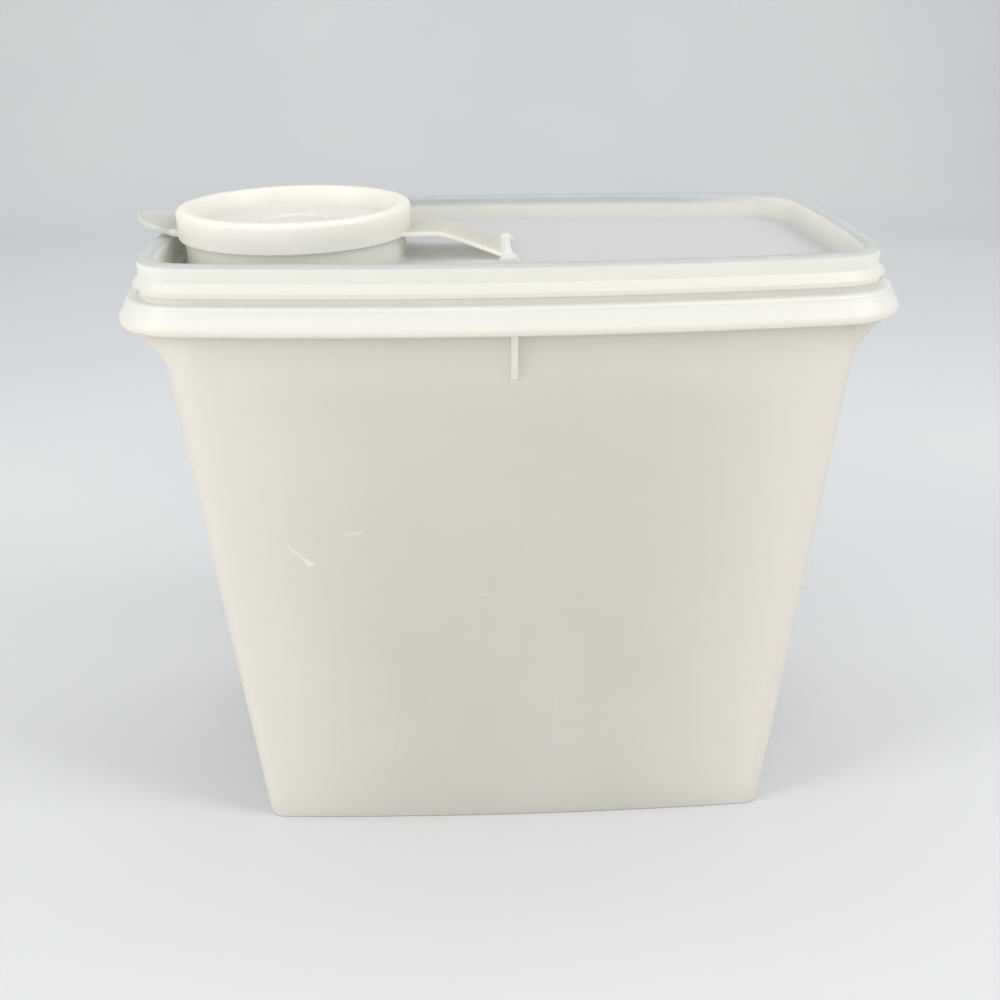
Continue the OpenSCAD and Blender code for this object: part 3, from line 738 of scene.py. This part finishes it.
# Colours as the screen shows them, 0 to 255
TUB_BODY, TUB_PALE = (227, 224, 216), (231, 228, 221)
# TUB_CORNER_GLOW is painted light glowing through the upright corners, and TUB_UNDER_SKIRT_LIGHT is
# painted light under the skirt where its shadow falls
TUB_CORNER_GLOW, TUB_UNDER_SKIRT_LIGHT, RIB_TINT = (248, 244, 237), (245, 241, 232), (247, 245, 238)
SKIRT_LOW, SKIRT_HIGH, GROOVE = (246, 243, 235), (242, 242, 239), (246, 246, 242)
LID_BODY, LID_PALE = (253, 253, 249), (254, 254, 251)
# PANEL_NEAR_SHADE is painted shade on the panel by the front of the recess
PANEL_TINT, PANEL_NEAR_SHADE = (241, 242, 244), (216, 221, 221)
# RIM_INNER_SHADE and RIM_BACK_SHADE are painted shade, and BEAD_THICK_AND_HIGHLIGHT is paler thick
# plastic with a painted highlight
RIM_TOP, RIM_INNER_SHADE, RIM_BACK_SHADE, BEAD_THICK_AND_HIGHLIGHT = (215, 219, 220), (186, 189, 186), (216, 221, 224), (250, 248, 242)
# STRAP_EDGE_HIGHLIGHT is a painted highlight on the strap's long edges and barrel
STRAP_BODY, STRAP_PALE, STRAP_EDGE_HIGHLIGHT = (240, 239, 231), (244, 243, 237), (255, 255, 252)
CAP_BODY, CAP_PALE = (252, 251, 246), (254, 253, 249)
# DISH_SHADE is painted shade on the floor of the cap's dish
DISH_SHADE, TAB_TINT = (248, 247, 243), (222, 224, 218)
SCUFF = (255, 254, 249)
BACKDROP_DARK, BACKDROP_PALE = (203, 206, 210), (207, 210, 213)

# Scale of the plastic's cloudiness, flow lines along the height, satin, waves and grain
CLOUD, FLOW, SATIN, WAVE, GRAIN = 14, (260, 260, 14), 40, 30, 2200
# Strength and depth in metres of the bumps of waves, grain and scuffs
WAVE_BUMP, GRAIN_BUMP, SCUFF_BUMP = (0.25, 0.0006), (0.12, 0.00012), (0.3, 0.0001)
# How far flow lines turn paler, satin varies in roughness, and scuffs turn paler and rougher
FLOW_AMOUNT, SMOOTHER, ROUGHER, SCUFF_AMOUNT, SCUFF_ROUGH = 0.1, 0.05, 0.07, 0.9, 0.2
IOR = 1.5


def milky(name, body, pale, rough, through, paint, scuffs=None):
    """Milky polyethylene: cloudy colour, satin grain, faint flow lines and light from behind."""
    n = Nodes(name)
    body, pale = linear(*body), linear(*pale)
    cloud = n.ease(n.noise(CLOUD, 3, 0.55), 0.35, 0.7)
    colour = paint(n, n.mix(cloud, body, pale))
    flow = n.noise(1, 4, 0.6, n.stretched(FLOW))
    colour = n.mix(n.ease(flow, 0.3, 0.75, 0.0, FLOW_AMOUNT), colour, pale)
    satin = n.ease(n.noise(SATIN, 4, 0.6), 0.3, 0.75, rough - SMOOTHER, rough + ROUGHER)
    normal = n.bump(n.noise(WAVE, 2, 0.4), *WAVE_BUMP)
    normal = n.bump(n.noise(GRAIN, 2, 0.6), *GRAIN_BUMP, normal)
    if scuffs:
        marks = scuffs(n)
        colour = shade(n, colour, marks, SCUFF, SCUFF_AMOUNT)
        satin = n.math("MULTIPLY_ADD", marks, SCUFF_ROUGH, satin)
        normal = n.bump(marks, *SCUFF_BUMP, normal)
    n.put(n.bsdf.inputs["Base Color"], colour)
    n.put(n.bsdf.inputs["Roughness"], satin)
    n.put(n.bsdf.inputs["Normal"], normal)
    n.bsdf.inputs["IOR"].default_value = IOR
    lit = n.tree.nodes.new("ShaderNodeBsdfTranslucent")
    n.put(lit.inputs["Color"], colour)
    blend = n.tree.nodes.new("ShaderNodeMixShader")
    blend.inputs[0].default_value = through
    n.put(blend.inputs[1], n.bsdf.outputs[0])
    n.put(blend.inputs[2], lit.outputs[0])
    n.put(n.out.inputs["Surface"], blend.outputs[0])
    return n.mat


def shade(n, colour, mask, tint, amount=1.0):
    """Turns the colour towards a tint where the mask is 1."""
    if amount < 1:
        mask = n.times(mask, amount)
    return n.mix(mask, colour, linear(*tint))


def tub_paint(n, colour):
    """The tub has painted light at its upright corners, where light glows through the thicker plastic,
    and painted light under its skirt; it is also paler in its skirt and in its ribs.
    """
    x, y, z = n.axes()
    wide, deep = n.math("ABSOLUTE", x), n.math("ABSOLUTE", y)
    half_l = n.math("MULTIPLY_ADD", z, (SHOULDER_L - BASE_L) / 2 / SHOULDER_Z, BASE_L / 2 * MM)
    half_d = n.math("MULTIPLY_ADD", z, (SHOULDER_D - BASE_D) / 2 / SHOULDER_Z, BASE_D / 2 * MM)
    # The lesser of both shares of the way out is near 1 only in a corner
    out = n.math("MINIMUM", n.math("DIVIDE", wide, half_l), n.math("DIVIDE", deep, half_d))
    skirt, top = SEAT_Z - SKIRT_DROP, SEAT_Z - SKIRT_TOP_DROP
    rib = n.math("LESS_THAN", wide, (RIB_T / 2 + 0.02) * MM)
    rib = n.times(rib, n.math("GREATER_THAN", z, (skirt - RIB_H) * MM))
    # Painted light: the corners glow paler
    colour = shade(n, colour, n.ease(out, 0.35, 1.05), TUB_CORNER_GLOW, 0.9)
    # Painted light on the wall under the skirt, where the skirt's shadow falls
    colour = shade(n, colour, n.fade(z, skirt - 24, skirt - 4), TUB_UNDER_SKIRT_LIGHT, 0.6)
    colour = shade(n, colour, rib, RIB_TINT)
    colour = shade(n, colour, n.fade(z, skirt - 1, skirt + 1), SKIRT_LOW)
    colour = shade(n, colour, n.fade(z, skirt + 1, skirt + 4), SKIRT_HIGH)
    return shade(n, colour, n.fade(z, top - 0.3, top + 0.1), GROOVE)


def lid_paint(n, colour):
    """The panel and the rim's top are thin and greyer, the panel near the front and the rim's inner
    edge get painted shade, the back of the rim gets painted shade where the dark behind shows through,
    and the bead is thick and paler with a painted highlight.
    """
    x, y, z = n.axes()
    panel = n.fade(z, PANEL_Z + 1.6, PANEL_Z + 0.2)
    colour = shade(n, colour, panel, PANEL_TINT)
    # Painted shade on the panel near the front wall of the recess
    colour = shade(n, colour, n.times(panel, n.fade(y, -14, -38)), PANEL_NEAR_SHADE)
    colour = shade(n, colour, n.fade(z, RIM_Z - 1.0, RIM_Z - 0.3), RIM_TOP)
    # Painted shade along the inner edge of the rim's front, which fades towards the corners
    inner = n.fade(rim_distance(n), 0.9 - RIM_W, 0.2 - RIM_W)
    inner = n.times(inner, n.fade(z, RIM_Z - 1.2, RIM_Z - 0.3))
    inner = n.times(inner, n.fade(y, -40, -44))
    inner = n.times(inner, n.fade(n.math("ABSOLUTE", x), 88, 74))
    colour = shade(n, colour, inner, RIM_INNER_SHADE)
    # Painted shade on the back of the rim, where the dark behind shows through
    colour = shade(n, colour, n.times(n.fade(y, 44, 50), n.fade(z, 184, 186)), RIM_BACK_SHADE)
    # The bead is paler thick plastic with a painted highlight
    outside = n.math("GREATER_THAN", rim_distance(n), -2.2 * MM)
    return shade(n, colour, n.times(outside, n.fade(z, LID_Z + 3.0, LID_Z + 1.2)), BEAD_THICK_AND_HIGHLIGHT)


def rim_distance(n):
    """Roughly how far a point lies outside the rim's outer face, in metres."""
    x, y, _ = n.axes()
    over_x = n.math("SUBTRACT", n.math("ABSOLUTE", x), RIM_L / 2 * MM)
    bow = n.times(n.times(x, x), RIM_BOW_L / (RIM_L / 2) ** 2 / MM)
    over_y = n.math("SUBTRACT", n.math("ADD", n.math("ABSOLUTE", y), bow), RIM_D / 2 * MM)
    return n.math("MAXIMUM", over_x, over_y)


def strap_paint(n, colour):
    """The strap's long edges and its barrel get a painted highlight, so they are paler."""
    x, y, _ = n.axes()
    side = n.fade(n.math("ABSOLUTE", y), STRAP_W / 2 - 2.2, STRAP_W / 2 - 0.8)
    end = n.fade(x, PIN_X - 3.0, PIN_X - 1.2)
    # Painted highlight on the strap's edges and barrel
    return shade(n, colour, n.math("MAXIMUM", side, end), STRAP_EDGE_HIGHLIGHT)


def cap_paint(n, colour):
    """The thumb tab is thin, so it is darker than the rest, and the dish's floor gets painted shade
    that makes it darker.
    """
    x, y, z = n.axes()
    from_spout = n.math("ADD", x, SPOUT_X * MM)
    away = n.math("SQRT", n.math("ADD", n.times(from_spout, from_spout), n.times(y, y)))
    low = CAP_TOP - DISH_H
    # Painted shade on the dish's floor
    floor = n.times(n.fade(away, BORE_R, BORE_R - 3), n.fade(z, low + 2.2, low + 0.4))
    colour = shade(n, colour, floor, DISH_SHADE)
    edge = -SPOUT_X - CAP_R
    return shade(n, colour, n.fade(x, edge + 0.5, edge - 1.5), TAB_TINT)


make_tub(milky("milky_tub", TUB_BODY, TUB_PALE, 0.42, 0.35, tub_paint, wear))
make_lid(milky("milky_lid", LID_BODY, LID_PALE, 0.36, 0.54, lid_paint))
make_strap(milky("milky_strap", STRAP_BODY, STRAP_PALE, 0.34, 0.6, strap_paint))
make_cap(milky("milky_cap", CAP_BODY, CAP_PALE, 0.34, 0.45, cap_paint))


# Stage, lights and camera, in metres

# Half width, front edge, back wall, its height and the radius between floor and wall
STAGE_WIDE, STAGE_NEAR, STAGE_BACK, STAGE_HIGH, STAGE_BEND = 3.0, -1.6, 1.5, 2.4, 0.6
PLAIN, WARM = (1, 1, 1), (1, 0.985, 0.95)
# Name, place, the point it is aimed at, size, power and colour of each lamp
LAMPS = (
    ("top_light", (0.05, 0.15, 1.1), (0, 0, 0.15), (1.2, 1.0), 2.5, PLAIN),
    ("left_light", (-1.0, -0.45, 0.6), (0, 0, 0.1), (0.4, 1.0), 6.4, WARM),
    ("right_light", (0.9, -0.35, 0.85), (0, 0, 0.1), (0.4, 0.8), 6.2, WARM),
    ("front_light", (-0.1, -1.4, 0.6), (0, 0, 0.1), (1.6, 0.9), 6.0, WARM),
    ("back_light", (0, 0.5, 1.7), (0, 1.5, 0.4), (2.4, 0.8), 7, PLAIN),
)
WORLD_COLOUR, WORLD_STRENGTH = (1.0, 0.99, 0.97, 1), 0.56


def make_stage():
    """A floor that bends up into a back wall, of pale paper."""
    bm = bmesh.new()
    bend = arc(STAGE_BACK - STAGE_BEND, STAGE_BEND, STAGE_BEND, -90, 0, 24)
    profile = [(STAGE_NEAR, 0)] + bend + [(STAGE_BACK, STAGE_HIGH)]
    rows = [[bm.verts.new((x, y, z)) for y, z in profile] for x in (-STAGE_WIDE, STAGE_WIDE)]
    for i in range(len(profile) - 1):
        bm.faces.new((rows[0][i], rows[1][i], rows[1][i + 1], rows[0][i + 1]))
    mesh = bpy.data.meshes.new("backdrop")
    bm.to_mesh(mesh)
    bm.free()
    mesh.shade_smooth()
    obj = bpy.data.objects.new("backdrop", mesh)
    bpy.context.scene.collection.objects.link(obj)
    n = Nodes("backdrop_paper")
    cloud = n.ease(n.noise(3, 2), 0.3, 0.7)
    colour = n.mix(cloud, linear(*BACKDROP_DARK), linear(*BACKDROP_PALE))
    n.put(n.bsdf.inputs["Base Color"], colour)
    n.bsdf.inputs["Roughness"].default_value = 0.9
    mesh.materials.append(n.mat)


def area_light(name, place, aim, size, power, colour):
    data = bpy.data.lights.new(name, "AREA")
    data.shape = "RECTANGLE"
    data.size, data.size_y = size
    data.energy = power
    data.color = colour
    obj = bpy.data.objects.new(name, data)
    obj.location = place
    obj.rotation_euler = (Vector(aim) - Vector(place)).to_track_quat("-Z", "Y").to_euler()
    bpy.context.scene.collection.objects.link(obj)


make_stage()
for lamp in LAMPS:
    area_light(*lamp)

world = bpy.data.worlds.new("studio")
bpy.context.scene.world = world
world.use_nodes = True
background = world.node_tree.nodes["Background"]
background.inputs["Color"].default_value = WORLD_COLOUR
background.inputs["Strength"].default_value = WORLD_STRENGTH

# Camera fitted to the photograph: its place, the directions to its right and up, and its lens
CAM_POS = (-0.011799, -0.340173, 0.252902)
CAM_RIGHT = Vector((0.9994657, -0.0309835, -0.0104083))
CAM_UP = Vector((0.0225920, 0.4247425, 0.9050323))
CAM_LENS, CAM_SENSOR = 38.894, 36

data = bpy.data.cameras.new("camera")
data.lens = CAM_LENS
data.sensor_width = CAM_SENSOR
data.clip_start = 0.01
camera = bpy.data.objects.new("camera", data)
back = CAM_RIGHT.cross(CAM_UP)
turn = Matrix((CAM_RIGHT, CAM_UP, back)).transposed()
camera.matrix_world = Matrix.Translation(CAM_POS) @ turn.to_4x4()
bpy.context.scene.collection.objects.link(camera)
bpy.context.scene.camera = camera

bpy.context.scene.view_settings.view_transform = "Standard"
